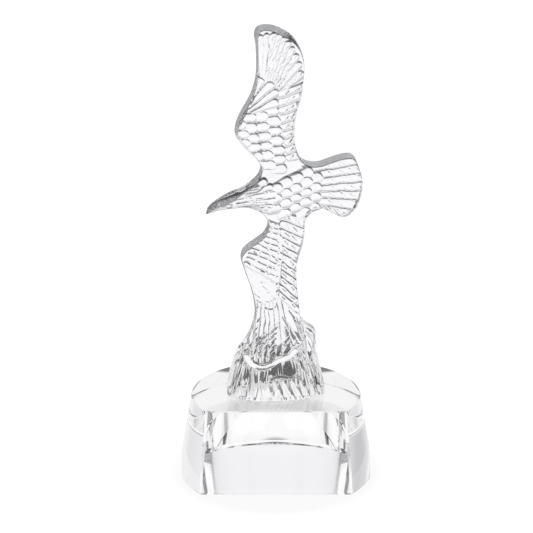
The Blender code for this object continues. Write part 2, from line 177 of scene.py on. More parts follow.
# %% Draw the outline
BEAK_TO_ROCK = [
    (-182, 497), (-177, 516), (-163, 530), (-143, 543), (-117, 557), (-91, 567), (-65, 585),
    (-48, 603), (-42, 625), (-52, 646), (-68, 663), (-92, 688), (-106, 712), (-105, 738),
    (-91, 771), (-72, 804), (-60, 835), (-53, 868), (-52, 904), (-54, 942), (-59, 970),
    (-56, 988), (-42, 998), (-20, 999), (8, 990), (34, 973), (53, 949), (67, 915), (72, 883),
    (69, 845), (63, 805), (54, 775), (49, 740), (47, 705), (51, 675), (64, 646), (86, 634),
    (110, 633), (135, 641), (163, 650), (188, 653), (203, 645), (213, 622), (222, 593),
    (224, 570), (220, 545), (212, 522), (197, 500), (180, 490), (162, 490), (141, 501),
    (118, 511), (95, 505), (80, 489), (76, 465), (73, 430), (65, 398), (57, 368), (54, 335),
    (56, 295), (61, 250), (65, 214),
]
ROCK_RIGHT = [
    (65, 214), (82, 196), (104, 178), (108, 145), (111, 115), (115, 85), (122, 57),
    (128, 28), (131, 0),
]
ROCK_TO_BEAK = [
    (-130, 0), (-130, 24), (-127, 52), (-120, 80), (-112, 106), (-102, 130), (-88, 148),
    (-76, 168), (-68, 186), (-61, 207), (-57, 230), (-58, 250), (-62, 275), (-69, 303),
    (-78, 328), (-87, 356), (-93, 378), (-92, 393), (-82, 408), (-65, 421), (-47, 434),
    (-34, 445), (-26, 459), (-23, 476), (-29, 490), (-44, 505), (-61, 515), (-80, 520),
    (-107, 518), (-133, 515), (-160, 510), (-182, 497),
]
UNIT = (figure_high.z - figure_low.z) / 1000
FINE_STEP = 0.00033 / UNIT


def smooth_stroke(drawn, step):
    """Evenly spaced points on a smooth curve through the drawn ones, the last left out."""
    knots = np.array(drawn, float)
    padded = np.vstack([2 * knots[0] - knots[1], knots, 2 * knots[-1] - knots[-2]])
    share = np.linspace(0, 1, 24, endpoint=False)[:, None]
    spans = []
    for first in range(len(knots) - 1):
        a, b, c, d = padded[first:first + 4]
        bend = (2 * a - 5 * b + 4 * c - d) * share ** 2 + (3 * b - 3 * c + d - a) * share ** 3
        spans.append(0.5 * (2 * b + (c - a) * share + bend))
    fine = np.vstack(spans + [knots[-1:]])
    run = np.concatenate([[0], np.cumsum(np.linalg.norm(np.diff(fine, axis=0), axis=1))])
    places = np.linspace(0, run[-1], max(2, round(run[-1] / step)) + 1)[:-1]
    return np.stack([np.interp(places, run, fine[:, axis]) for axis in (0, 1)], axis=1)


outline = np.vstack([
    smooth_stroke(BEAK_TO_ROCK, FINE_STEP),
    smooth_stroke(ROCK_RIGHT, FINE_STEP),
    smooth_stroke([(131, 0), (-130, 0)], FINE_STEP),
    smooth_stroke(ROCK_TO_BEAK, FINE_STEP),
])
along = np.roll(outline, -1, axis=0) - np.roll(outline, 1, axis=0)
along /= np.linalg.norm(along, axis=1)[:, None]
outward = np.stack([-along[:, 1], along[:, 0]], axis=1)
on_foot = outline[:, 1] < 1e-6
outward[on_foot] = 0.0
foot_ends = np.flatnonzero(on_foot)[[0, -1]]
outward[foot_ends, 0] = np.sign(outline[foot_ends, 0])
print("outline", len(outline), "points")

# %% [markdown]
# ## The bare form
# Before any feather is cut, the figure is a plate that swells a little over the breast, rounds over
# along the top of the head and grows into the round rock at its foot. A flat plate is mostly
# bright, because one looks straight through it, and only steep places turn dark. Everything that
# follows is worked out from a point's place in the outline, so it takes distances and smooth steps.

# %% Distances and smooth steps
def ramp(values, low, high):
    """Smooth step from 0 at low to 1 at high."""
    share = np.clip((values - low) / (high - low), 0.0, 1.0)
    return share * share * (3.0 - 2.0 * share)


def gap_to_line(points, start, end):
    """Distance of each point to the straight line between two drawn points."""
    start = np.array(start, float)
    run = np.array(end, float) - start
    share = np.clip(((points - start) @ run) / max(run @ run, 1e-9), 0.0, 1.0)
    return np.linalg.norm(points - start - share[:, None] * run, axis=1)


def gap_to_path(points, path):
    """Distance of each point to the nearest piece of a drawn path."""
    return np.min([gap_to_line(points, *pair) for pair in zip(path[:-1], path[1:])], axis=0)


def gap_to_sides(points, ring):
    """Distance of each point in metres to the ring without its straight foot."""
    sides = ring[~on_foot | (np.abs(ring[:, 0]) > 0.999 * np.abs(ring[on_foot, 0]).max())]
    tree = KDTree(len(sides))
    for number, (x, z) in enumerate(sides):
        tree.insert((x, z, 0), number)
    tree.balance()
    nearest = np.array([tree.find((x, z, 0))[2] for x, z in points])
    return nearest * UNIT


print("smooth step", ramp(np.array([0.0, 0.25, 0.5, 1.0]), 0.0, 1.0))

# %% [markdown]
# The plate is thinner towards the beak, the rock is half an ellipse across and grows deeper towards
# its foot, and the form is the higher of the two. Along the top of the head the front is cut away
# by a steep bevel, wide over the crown and narrow down the neck: it draws the dark crown.

# %% Describe the bare form
EDGE_HALF = 0.0050
ROCK_EDGE_HALF = 0.0014
ROCK_DEPTH = (0.0134, 0.0048)
ROCK_SHOULDER = 135.0
ROCK_HALF_WIDTH = (0.0278, 0.0120)
ROCK_NARROWS = 250.0
EDGE_GROWS = (90.0, 235.0)
BODY_LINE = ((-40, 560), (95, 570))
BODY_REACH = 70.0
BODY_BULGE = 0.0006
HEAD_LINE = ((-165, 520), (-60, 548))
HEAD_REACH = 42.0
HEAD_BULGE = 0.0012
BEAK_TIP = np.array(BEAK_TO_ROCK[0])
BEAK_LENGTH = 100.0
BEAK_SHARE = 0.55
BACK_SHARE = 0.55
ROCK_TOP = 205.0
RIM_ROLL = 0.0006


def edge_half(z):
    """Half the pressing's thickness at its sides."""
    return ROCK_EDGE_HALF + (EDGE_HALF - ROCK_EDGE_HALF) * ramp(z, *EDGE_GROWS)


def bare_form(points, gap):
    """Half depth of the figure without carving, and how much of it is rock."""
    z = points[:, 1]
    body = gap_to_line(points, *BODY_LINE) / BODY_REACH
    head = gap_to_line(points, *HEAD_LINE) / HEAD_REACH
    plate = edge_half(z) + BODY_BULGE * ramp(1 - body, 0.0, 0.9)
    plate = plate + HEAD_BULGE * np.clip(1 - head ** 2, 0, 1) ** 1.5
    from_beak = np.linalg.norm(points - BEAK_TIP, axis=1)
    plate = plate * (BEAK_SHARE + (1 - BEAK_SHARE) * ramp(from_beak, 0.0, BEAK_LENGTH))
    up = np.clip(z / ROCK_NARROWS, 0.0, 1.0)
    under = np.clip(1 - z / ROCK_SHOULDER, 0.0, 1.0)
    depth = ROCK_DEPTH[1] + (ROCK_DEPTH[0] - ROCK_DEPTH[1]) * under ** 1.5
    width = ROCK_HALF_WIDTH[0] + (ROCK_HALF_WIDTH[1] - ROCK_HALF_WIDTH[0]) * up
    side = 1 - np.clip(gap / width, 0.0, 1.0)
    rock = depth * np.sqrt(np.clip(1 - side * side, 0.0, 1.0))
    stony = 1 - ramp(z, ROCK_TOP, ROCK_TOP + 25.0)
    return np.maximum(plate, rock), stony


def roll(gap, size):
    """How far a quarter-round edge of a size falls back at a gap from the side."""
    share = 1 - np.clip(gap / size, 0.0, 1.0)
    return size * (1 - np.sqrt(1 - share * share))


print("wings", round(2000 * EDGE_HALF, 1), "mm thick, rock", round(2000 * ROCK_DEPTH[0], 1), "mm deep")

# %% Bevel the top of the head
HEAD_TOP = BEAK_TO_ROCK[:9]
CROWN_TOP = BEAK_TO_ROCK[:6]
CROWN_BEVEL = (0.0034, 2.2)
NECK_BEVEL = (0.0016, 1.6)
BEVEL_DEEPEST = 1.75


def head_bevel(points, form):
    """How far the front falls back along the top of the head, more over the crown than the neck."""
    neck = ramp(points[:, 0], -112.0, -88.0)
    wide = CROWN_BEVEL[0] + (NECK_BEVEL[0] - CROWN_BEVEL[0]) * neck
    steep = CROWN_BEVEL[1] + (NECK_BEVEL[1] - CROWN_BEVEL[1]) * neck
    fall = np.minimum(wide * steep, BEVEL_DEEPEST * form) - steep * gap_to_path(points, HEAD_TOP) * UNIT
    return np.maximum(fall, 0.0) * ramp(points[:, 0], -22.0, -42.0)


print("crown bevel", round(math.degrees(math.atan(CROWN_BEVEL[1]))), "degrees steep")

# %% [markdown]
# ## Feathers
# A feather is a tongue of crystal that stands on the bare form. It stands a lift high at its root
# and a step higher at its round tip, has a slight crown along its quill, and drops over a steep
# wall. Some ease in from their root, some end blunt with a gentler wall. Two feathers side by side
# leave a valley between their walls, and the valley is the dark line that one sees in the crystal.

# %% Make one feather
FEATHER_WALL = 1.7


def feather(
    root, tip, halves, lift=0.0005, step=0.0006, crown=0.0003, ease=0.0, blunt=1.0,
    wall=FEATHER_WALL, end_wall=FEATHER_WALL,
):
    """One feather: where it grows, where it ends, its half widths there and how it is cut."""
    root = np.array(root, float)
    run = np.array(tip, float) - root
    length = float(np.linalg.norm(run))
    axis = run / length
    return {
        "root": root, "axis": axis, "side": np.array([-axis[1], axis[0]]), "length": length,
        "halves": halves, "end": min(halves[1] / blunt, 0.8 * length), "lift": lift, "step": step,
        "crown": crown, "ease": ease, "wall": wall, "end_wall": end_wall,
    }


def feather_height(points, one):
    """Height of one feather over the bare form at each point, in metres."""
    away = points - one["root"]
    along, across = away @ one["axis"], away @ one["side"]
    share = np.clip(along / one["length"], 0.0, 1.0)
    half = one["halves"][0] + (one["halves"][1] - one["halves"][0]) * share
    past = np.maximum(along - (one["length"] - one["end"]), 0.0) / one["end"]
    inside = np.minimum((1 - np.hypot(past, across / half)) * half, along + 2.0)
    side = np.clip(across / half, -1.0, 1.0)
    rise = one["lift"] + one["step"] * share + one["crown"] * (1 - side * side)
    if one["ease"]:
        rise = rise * ramp(along, -2.0, one["ease"])
    endwards = (past / np.maximum(np.hypot(past, across / half), 1e-9)) ** 2
    wall = one["wall"] + (one["end_wall"] - one["wall"]) * endwards
    return rise - wall * np.maximum(-inside, 0.0) * UNIT


trial = feather_height(np.array([[0.0, 0.0], [0.0, 50.0]]), feather((0, 0), (0, 60), (6, 8)))
print("a feather's root and tip stand", [round(1000 * high, 2) for high in trial], "mm high")

# %% [markdown]
# Rows of feathers are spread between a first and a last place, on a curve where a middle one is
# given, and each feather is as wide as the row leaves it. Long feathers fan out from matching rows
# of roots and tips, and scales are short, round and all point the same way.

# %% Make rows of feathers
def spread(first, last, count, middle=None):
    """Places from the first to the last, on a curve through the middle one if it is given."""
    shares = np.linspace(0, 1, count)[:, None]
    first, last = np.array(first, float), np.array(last, float)
    if middle is None:
        return first + (last - first) * shares
    pull = 2 * np.array(middle, float) - (first + last) / 2
    return (1 - shares) ** 2 * first + 2 * shares * (1 - shares) * pull + shares ** 2 * last


def half_pitch(places, axis, here):
    """Half the distance between neighbours in a row, measured across the feather."""
    beside = places[max(here - 1, 0):here + 2]
    run = (beside[-1] - beside[0]) / (len(beside) - 1)
    return 0.5 * abs(axis[0] * run[1] - axis[1] * run[0])


def fan(roots, tips, valley, **cut):
    """A row of feathers from matching roots and tips, with a valley left between them."""
    row = []
    for here, (root, tip) in enumerate(zip(roots, tips)):
        axis = (tip - root) / np.linalg.norm(tip - root)
        halves = tuple(max(half_pitch(places, axis, here) - valley, 1.5) for places in (roots, tips))
        row.append(feather(root, tip, halves, **cut))
    return row


def scales(tips, heading, length, valley, **cut):
    """A row of short round feathers that all point the same way."""
    angle = math.radians(heading)
    run = length * np.array([math.cos(angle), math.sin(angle)])
    half = np.linalg.norm(tips[1] - tips[0]) / 2 - valley
    return [feather(tip - run, tip, (0.8 * half, half), **cut) for tip in tips]


print("five places in a row", spread((0, 0), (100, 0), 5, (50, 20)).round().tolist())

# %% [markdown]
# The quick, short cuts on the feathers, their barbs, are scored into them afterwards, each with a
# small turn and shift of its own. A score is a V-shaped cut along a path. A slot is another kind of
# cut: its floor leans up to a steep far side, so it looks at the ground and is dark all over, where
# a V shows only two thin lines.

# %% Score barbs and lines
def score(path, half=2.4, deep=0.0007):
    """A V-shaped cut along a drawn path: its half width in figure units, its depth in metres."""
    if len(path) > 2:
        path = np.vstack([smooth_stroke(path, 3.0), path[-1:]])
    return {"path": np.array(path, float), "half": half, "deep": deep}


def barbs(row, count, heading, first=0.35, last=0.9, half=2.2, deep=0.0006, long=0.75, seed=3):
    """Short slanted scores along each feather of a row, none quite like another."""
    chance = np.random.RandomState(seed)
    cuts = []
    for one in row:
        for place in np.linspace(first, last, count):
            share = place + chance.uniform(-0.04, 0.04)
            wide = one["halves"][0] + (one["halves"][1] - one["halves"][0]) * share
            middle = one["root"] + share * one["length"] * one["axis"]
            middle = middle + chance.uniform(-0.25, 0.25) * wide * one["side"]
            angle = math.radians(heading + chance.uniform(-10, 10))
            run = chance.uniform(0.8, 1.1) * long * wide * np.array([math.cos(angle), math.sin(angle)])
            cuts.append(score([middle - run, middle + run], half, deep * chance.uniform(0.6, 1.1)))
    return cuts


# %% Scoop slots and measure every cut
def scoop(middle, run, half=3.4, deep=0.0007):
    """A slot along a run to both sides of its middle, with a floor that leans up."""
    return {"path": np.array([middle - run, middle + run]), "half": half, "deep": deep, "scoop": True}


def scoop_depth(points, cut):
    """Depth of a slot: shallow at its lower side, deepest near its upper one, pointed at its ends."""
    first, last = cut["path"]
    run = (last - first) / np.linalg.norm(last - first)
    away = points - (first + last) / 2
    along = np.abs(away @ run) / (np.linalg.norm(last - first) / 2 + cut["half"])
    across = (away @ np.array([-run[1], run[0]])) / cut["half"] / np.maximum(1 - along ** 2, 0.05)
    floor = np.clip((across + 1) / 1.7, 0, 1) * np.clip((1 - across) / 0.3, 0, 1)
    return cut["deep"] * floor * np.clip(4 * (1 - along), 0, 1)


def score_depth(points, cuts):
    """Depth of the deepest cut at each point."""
    depth = np.zeros(len(points))
    for cut in cuts:
        low, high = cut["path"].min(axis=0) - cut["half"], cut["path"].max(axis=0) + cut["half"]
        near = np.flatnonzero(((points > low) & (points < high)).all(axis=1))
        if "scoop" in cut:
            depth[near] = np.maximum(depth[near], scoop_depth(points[near], cut))
        elif len(near):
            gap = gap_to_path(points[near], cut["path"])
            depth[near] = np.maximum(depth[near], cut["deep"] * np.clip(1 - gap / cut["half"], 0, 1))
    return depth


trial = score_depth(np.zeros((1, 2)), [score([(-9, 0), (9, 0)]), scoop(np.zeros(2), np.array([9.0, 0.0]))])
print("the deeper of a score and a slot", round(1000 * trial[0], 2), "mm")

# %% [markdown]
# The raised wing carries ten long primaries that fan out to the tip, nine secondaries along its
# back edge, four coverts at the wrist and four columns of round scales over the shoulder. A bead
# set off by one cut runs along its leading edge.

# %% Lay the raised wing
primaries = fan(
    spread((-40, 840), (-2, 822), 10), spread((-44, 976), (66, 876), 10, (24, 962)), 1.0,
    lift=0.0003,
)
secondaries = fan(
    spread((2, 818), (28, 652), 9), spread((76, 842), (68, 664), 9, (56, 748)), 1.3, lift=0.0003,
    wall=0.9,
)
wrist = fan(
    spread((-76, 800), (-64, 774), 4), spread((-40, 864), (2, 800), 4, (-4, 840)), 1.3, lift=0.0006,
)
shoulder = scales(spread((4, 776), (24, 626), 7), 4, 38, 0.4, lift=0.0003)
shoulder += scales(spread((-26, 764), (-6, 636), 6), 4, 38, 0.4, lift=0.0004)
shoulder += scales(spread((-56, 762), (-36, 658), 5), 4, 38, 0.4, lift=0.0005)
shoulder += scales(spread((-80, 744), (-70, 696), 3), 4, 30, 0.4, lift=0.0006)
cuts = barbs(primaries[2:], 4, 62, first=0.35, deep=0.0005)
cuts += barbs(secondaries, 3, 52, first=0.3, deep=0.0007)
plumage = primaries + secondaries + wrist + shoulder


def leading_edge(points, gap):
    """The cut that sets off the rounded leading edge of the raised wing."""
    z = points[:, 1]
    inwards = 0.0006 + 0.0004 * ramp(z, 870.0, 745.0) * ramp(z, 685.0, 730.0)
    cut = 0.0012 * np.clip(1 - np.abs(gap - inwards) / 0.0007, 0, 1)
    return cut * (points[:, 0] < -35) * ramp(z, 668.0, 700.0) * ramp(z, 905.0, 860.0)


print("raised wing", len(plumage), "feathers", len(cuts), "barbs")

# %% [markdown]
# The tail is one fan of seven broad feathers. The body is covered by five columns of scales, every
# other one shifted by half a scale, and the neck by six narrow feathers that ease in from the head.

# %% Lay the tail and the body
tail = fan(
    spread((66, 622), (90, 522), 7), spread((206, 646), (190, 500), 7, (234, 574)), 1.0, step=0.0007,
)
cuts += barbs(tail, 4, -48, first=0.45, last=0.9, deep=0.0003)
plumage += tail
SCALE_CUT = {"lift": 0.0004, "step": 0.0012, "crown": 0.0004}
SCALE_PITCH = 27
SCALE_COLUMNS = ((114, 524, 4), (90, 511, 5), (64, 524, 4), (38, 511, 4), (12, 524, 3))
for tip_x, lowest, count in SCALE_COLUMNS:
    tips = spread((tip_x - 4, lowest), (tip_x, lowest + SCALE_PITCH * (count - 1)), count)
    plumage += scales(tips, 18, 34, -1.0, **SCALE_CUT)
neck = fan(
    spread((-92, 570), (-90, 528), 6), spread((-28, 594), (-14, 514), 6, (0, 552)), 1.0,
    lift=0.0002, step=0.0013, crown=0.0, ease=20.0,
)
plumage += neck
print("body and tail", len(plumage), "feathers so far")

# %% [markdown]
# The lowered wing has a row of short feathers on either side of its middle line, and below them a
# last fan of long, soft feathers that runs out over the rock. Their borders are scored, because the
# feathers rise so gently that their walls alone would hardly show.

# %% Lay the lowered wing
hind = fan(
    spread((10, 500), (2, 290), 11), spread((84, 474), (70, 232), 11, (66, 352)), 0.5, lift=0.0003,
    step=0.0004, crown=0.0004, wall=0.9,
)
fore = fan(
    spread((-36, 488), (-82, 372), 10), spread((8, 470), (6, 322), 10, (14, 400)), 0.6, lift=0.0002,
    step=0.0004, crown=0.0003, wall=0.9,
)
last_fan = fan(
    spread((-54, 262), (16, 284), 8), spread((-72, 118), (54, 142), 8, (-24, 94)), 0.7, lift=0.0004,
    step=0.0016, crown=0.0006, end_wall=0.8, ease=90.0, blunt=1.6,
)
last_fan[-1]["crown"] = 0.0
cuts += [
    score([(15, 224), (36, 190), (58, 150)], 2.2, 0.0007),
    score([(34, 241), (50, 214), (60, 184)], 2.2, 0.0007),
    score([(24, 190), (36, 164), (46, 146)], 2.0, 0.0005),
]
cuts += barbs(hind, 3, -50, first=0.25, deep=0.0005, half=2.6)
cuts += barbs(fore, 3, -62, first=0.3, deep=0.0004, half=2.8, long=0.8)
for left, right in zip(last_fan[:-1], last_fan[1:]):
    root = (left["root"] + right["root"]) / 2
    run = (left["length"] * left["axis"] + right["length"] * right["axis"]) / 2
    cuts.append(score([root, root + 0.85 * run], 2.0, 0.0006))
plumage += hind + fore + last_fan
print("plumage", len(plumage), "feathers")

# %% [markdown]
# Where the wing lies on the rock, short slots stand in four columns, all slanted the same way.

# %% Cut the slots of the wing that lies on the rock
SLOT_RUN = np.array([9.0, 9.5])
for column in (
    spread((-50, 214), (-66, 128), 6, (-56, 166)), spread((-34, 168), (-40, 122), 4),
    spread((-9, 188), (-12, 122), 5), spread((24, 158), (16, 132), 2),
):
    for middle in column:
        cuts.append(scoop(middle, SLOT_RUN))
print("feathers", len(plumage), "cuts", len(cuts))

# %% [markdown]
# The rest is drawn line by line, each line with its half width and depth. The face has a mouth, an
# eye and its brow, and long strands run back from it over the neck. One line parts the primaries
# from the leading edge, one parts the two rows of the lowered wing, and shallow curves, one below
# the other, cross the smooth front of that wing with many faint strokes about them.

# %% Draw the face and the long lines
FACE_LINES = [
    ([(-160, 511), (-134, 515), (-95, 518), (-75, 522)], 1.8, 0.0005),
    ([(-142, 531), (-134, 526), (-124, 525), (-116, 528)], 1.8, 0.0006),
    ([(-131, 536), (-116, 533)], 1.6, 0.0004),
]
NECK_STRANDS = [
    ([(-80, 562), (-52, 569), (-29, 587)], 2.2, 0.0006),
    ([(-112, 546), (-80, 553), (-48, 564), (-14, 572)], 2.2, 0.0004),
    ([(-106, 537), (-72, 541), (-38, 548), (-6, 551)], 2.2, 0.0004),
    ([(-102, 528), (-66, 529), (-30, 532), (0, 530)], 2.2, 0.0004),
    ([(-84, 523), (-52, 518), (-22, 515)], 2.2, 0.0003),
]
WING_LINES = [
    ([(-23, 968), (-22, 935), (-30, 883)], 2.2, 0.0007),
    ([(16, 406), (11, 351), (3, 282)], 2.6, 0.0010),
    ([(-60, 405), (-54, 399)], 2.4, 0.0008),
]
SOFT_CURVES = [
    ([(-36, 268), (-26, 251), (-16, 247), (-5, 252), (3, 272)], 4.0, 0.0002),
    ([(-58, 306), (-40, 276), (-18, 268), (0, 288)], 4.0, 0.00016),
    ([(-72, 336), (-48, 300), (-20, 294), (4, 314)], 4.0, 0.00016),
    ([(-80, 364), (-54, 328), (-22, 320), (6, 342)], 4.0, 0.00016),
    ([(-86, 388), (-58, 358), (-24, 350), (8, 370)], 4.0, 0.00016),
]
SOFT_STROKES = 34

cuts += [score(*line) for line in FACE_LINES + NECK_STRANDS + WING_LINES + SOFT_CURVES]
chance = np.random.RandomState(9)
for stroke in range(SOFT_STROKES):
    middle = np.array([chance.uniform(-76, 0), chance.uniform(250, 360)])
    angle = math.radians(chance.uniform(-62, -28))
    run = chance.uniform(7, 13) * np.array([math.cos(angle), math.sin(angle)])
    cuts.append(score([middle - run, middle + run], 4.4, chance.uniform(0.00012, 0.00026)))
print("cuts", len(cuts))

# %% [markdown]
# ## Rock
# The rock under the eagle is splintered: long flutes fan out from the eagle's foot down to the
# base, with a few broad flats and a hollow between them. The flutes are teeth across the rock,
# shifted and thinned by smooth noise. The same noise, much weaker, makes the feathers' lines
# wander a little, because a mould's carver doesn't rule them.

# %% Make smooth noise
def value_noise(across, up, seed):
    """Smooth random heights from -1 to 1, one to each unit of both directions."""
    grid = np.random.RandomState(seed).uniform(-1, 1, (64, 64))
    column, row = np.floor(across).astype(int), np.floor(up).astype(int)
    right, over = across - column, up - row
    right = right * right * (3 - 2 * right)
    over = over * over * (3 - 2 * over)
    low = grid[row % 64, column % 64] * (1 - right) + grid[row % 64, (column + 1) % 64] * right
    high = grid[(row + 1) % 64, column % 64] * (1 - right)
    high = high + grid[(row + 1) % 64, (column + 1) % 64] * right
    return low * (1 - over) + high * over


WANDER_PITCH = 24.0
WANDER_REACH = 2.2


def wander(points):
    """The points moved about a little and smoothly, so that no carved line is ruled."""
    x, z = points[:, 0] / WANDER_PITCH, points[:, 1] / WANDER_PITCH
    return points + WANDER_REACH * np.column_stack([value_noise(x, z, 71), value_noise(x, z, 72)])


print("a line wanders up to", round(1000 * WANDER_REACH * UNIT, 2), "mm")

# %% Cut the flutes
FRONT_FLUTES = ((10, 60, 0.0024), (28, 40, 0.0012))
BACK_FLUTES = ((6, 160, 0.0012),)
ROCK_RIM = 0.0025


def flutes(points, sets, seed):
    """Height of the fanned flutes: each set is how many, how long and how high."""
    x, z = points[:, 0], points[:, 1]
    fanned = x / (131 - 0.30 * z)
    height = np.zeros(len(points))
    for count, tall, high in sets:
        phase = fanned * count / 2 + 0.45 * value_noise(fanned * count / 3, z / tall, seed)
        tooth = ramp(1 - np.abs(2 * (phase - np.floor(phase)) - 1), 0.0, 1.0)
        stand = 0.55 + 0.45 * value_noise(np.floor(phase) + 0.5, z / tall, seed + 1)
        height = height + high * tooth * stand
        seed += 2
    return height


def rock_fade(points, gap):
    """Carving that dies out at the rock's sides and foot."""
    return ramp(gap, 0.0, ROCK_RIM) * ramp(points[:, 1] * UNIT, 0.0, ROCK_RIM)


print("flutes", [(count, round(1000 * high, 1)) for count, tall, high in FRONT_FLUTES], "each count and mm")

# %% [markdown]
# The flats are leaning planes let into the flutes. A flat that leans back shows the ground and is
# dark, like the hollow under the wing, one that stands upright is bright. Each row gives a flat's
# middle, half width, half height and turn, then its level and how far it leans sideways and up.

# %% Let in the flats and crack the rock
FLATS = [
    (84, 158, 17, 38, 4, 0.0006, 0.10, 0.05),
    (86, 204, 24, 8, -45, 0.0010, 0.0, -1.2),
    (-101, 121, 12, 38, -21, 0.0004, 0.35, -0.60),
    (20, 76, 46, 25, 14, -0.0010, 0.0, -0.50),
    (-68, 178, 11, 42, -10, 0.0012, -0.10, 0.05),
    (104, 70, 12, 60, 8, 0.0010, -0.45, 0.10),
    (70, 92, 12, 26, 16, 0.0002, 0.10, -0.55),
    (-84, 62, 12, 30, -14, 0.0002, 0.10, -0.55),
]
CRACKS = [
    [(103, 186), (101, 150), (97, 112), (104, 70), (112, 38)],
    [(64, 222), (61, 190), (66, 168), (78, 140), (80, 118)],
    [(56, 135), (72, 93), (89, 44)],
    [(67, 143), (83, 101), (96, 55)],
    [(52, 124), (56, 90), (58, 60)],
    [(-18, 55), (10, 62), (40, 58), (58, 66)],
]


def let_in_flats(points, height):
    """Rock height with the broad flats let in, each a leaning plane with a soft border."""
    for x, z, wide, tall, turn, level, sideways, upwards in FLATS:
        angle = math.radians(turn)
        away = points - np.array([x, z])
        across = away @ np.array([math.cos(angle), math.sin(angle)])
        along = away @ np.array([-math.sin(angle), math.cos(angle)])
        share = ramp(1 - np.hypot(across / wide, along / tall), 0.0, 0.22)
        plane = level + (sideways * across + upwards * along) * UNIT
        height = height * (1 - 0.75 * share) + plane * share
    return height


cuts += [score(path, 3.0, 0.0018) for path in CRACKS]
print("flats", len(FLATS), "cracks", len(CRACKS))

# %% [markdown]
# Where the lowered wing ends on the rock, its rim rolls out in a plain bright band, the hem. It
# follows a drawn path and leans down, so that it shows the sky behind the trophy, and it leans more
# at its left end, where the rock behind it leans the other way.

# %% Lay the hem of the wing
WING_HEM = [
    (-80, 138), (-82, 124), (-77, 110), (-65, 96), (-49, 88), (-32, 87), (-11, 94), (10, 109),
    (34, 118), (47, 130),
]
HEM_FADE = (0.0022, 0.0016)
HEM_LEVEL = 0.0030
HEM_LEANS = (0.64, 0.36)
HEM_REACH = 0.003


def with_hem(points, carved):
    """The carving with the hem laid over it."""
    hem = ramp(gap_to_path(points, WING_HEM) * UNIT, *HEM_FADE)
    path_x, path_z = np.array(WING_HEM[2:]).T
    over = (points[:, 1] - np.interp(points[:, 0], path_x, path_z)) * UNIT
    lean = np.interp(points[:, 0], (-40, 20), HEM_LEANS)
    return carved * (1 - hem) + (HEM_LEVEL + lean * np.clip(over, -HEM_REACH, HEM_REACH)) * hem


print("hem", round(2000 * HEM_FADE[1], 1), "mm wide")

# %% [markdown]
# ## Front and back
# At each point the front is the bare form, plus the highest feather or the rock between the
# feathers, less the deepest cut, less the rounded rim. The back keeps the form and the flutes
# alone, for such a piece is looked at from the front. The wing tip curls forward a little.

# %% Put the front and the back together
TIP_CURL = 0.0030
CUT_RIM = 0.0012


def tip_curl(points):
    """How far the wing tip curls forward."""
    return TIP_CURL * np.clip((points[:, 1] - 860.0) / 140.0, 0.0, 1.0) ** 2


def front_depth(points, gap):
    """Depth of the carved front, from the middle plane towards the viewer."""
    form, rocky = bare_form(points, gap)
    feathered = np.zeros(len(points))
    wandered = wander(points)
    for one in plumage:
        feathered = np.maximum(feathered, feather_height(wandered, one))
    wing = ramp(feathered, 0.0001, 0.0004)
    stone = let_in_flats(points, flutes(points, FRONT_FLUTES, 11) - 0.0010)
    stone = stone * rock_fade(points, gap) * rocky
    carved = np.where(rocky > 0, feathered * wing + stone * (1 - wing), feathered)
    carved = carved - score_depth(wandered, cuts) * ramp(gap, 0.0, CUT_RIM) - leading_edge(points, gap)
    carved = with_hem(wandered, carved)
    edge = roll(gap, RIM_ROLL) * (1 - rocky)
    return form + carved - np.maximum(edge, head_bevel(points, form)) + tip_curl(points)


def back_depth(points, gap):
    """Depth of the plainer back, from the middle plane away from the viewer."""
    form, rocky = bare_form(points, gap)
    edge = np.minimum(edge_half(points[:, 1]), form)
    plain = edge + BACK_SHARE * (form - edge)
    stone = (flutes(points, BACK_FLUTES, 41) - 0.0008) * rock_fade(points, gap) * rocky
    stone = stone * ramp(points[:, 1], 130.0, 70.0)
    return plain + (form - plain) * rocky + stone - tip_curl(points)


trial = np.array([[40.0, 560.0], [0.0, 60.0]]), np.full(2, 0.01)
print("breast and rock", (1000 * (front_depth(*trial) + back_depth(*trial))).round(1), "mm deep")

# %% [markdown]
# ## The pressing
# No operator fills so winding an outline with even triangles, so both faces are filled by
# Blender's own triangulation over a fine lattice of points, close in front for the feathers and
# three times as wide behind. A mould only lets go of a piece whose sides lean, so both faces are a
# little smaller than the outline, which is the line where the two halves of the mould meet.

# %% Draw the outline in
DRAFT = math.tan(math.radians(8.0))
TIP_BEVEL = 0.0019


def draw_in(depth):
    """The outline drawn in by the mould's draft, more at the wing's bevelled tip."""
    bevel = TIP_BEVEL * ramp(outline[:, 1], 930.0, 985.0)
    from_beak = np.linalg.norm(outline - BEAK_TIP, axis=1)
    inwards = (depth * DRAFT + bevel) / UNIT
    moved = outline - outward * (inwards * (0.3 + 0.7 * ramp(from_beak, 0.0, 45.0)))[:, None]
    moved[:, 1] = np.maximum(moved[:, 1], 0.0)
    return moved


foot_gap = np.where(on_foot, gap_to_sides(outline, outline), 0.0)
rim = draw_in(bare_form(outline, foot_gap)[0])
print("drawn in by up to", round(1000 * UNIT * np.linalg.norm(rim - outline, axis=1).max(), 2), "mm")


# %% Fill both faces
BACK_STEP = 3.2 * FINE_STEP


def inside_ring(points, ring):
    """Whether each point lies inside a closed ring."""
    inside = np.zeros(len(points), bool)
    for (ax, az), (bx, bz) in zip(ring, np.roll(ring, -1, axis=0)):
        if az == bz:
            continue
        crosses = (az > points[:, 1]) != (bz > points[:, 1])
        inside ^= crosses & (points[:, 0] < ax + (points[:, 1] - az) / (bz - az) * (bx - ax))
    return inside


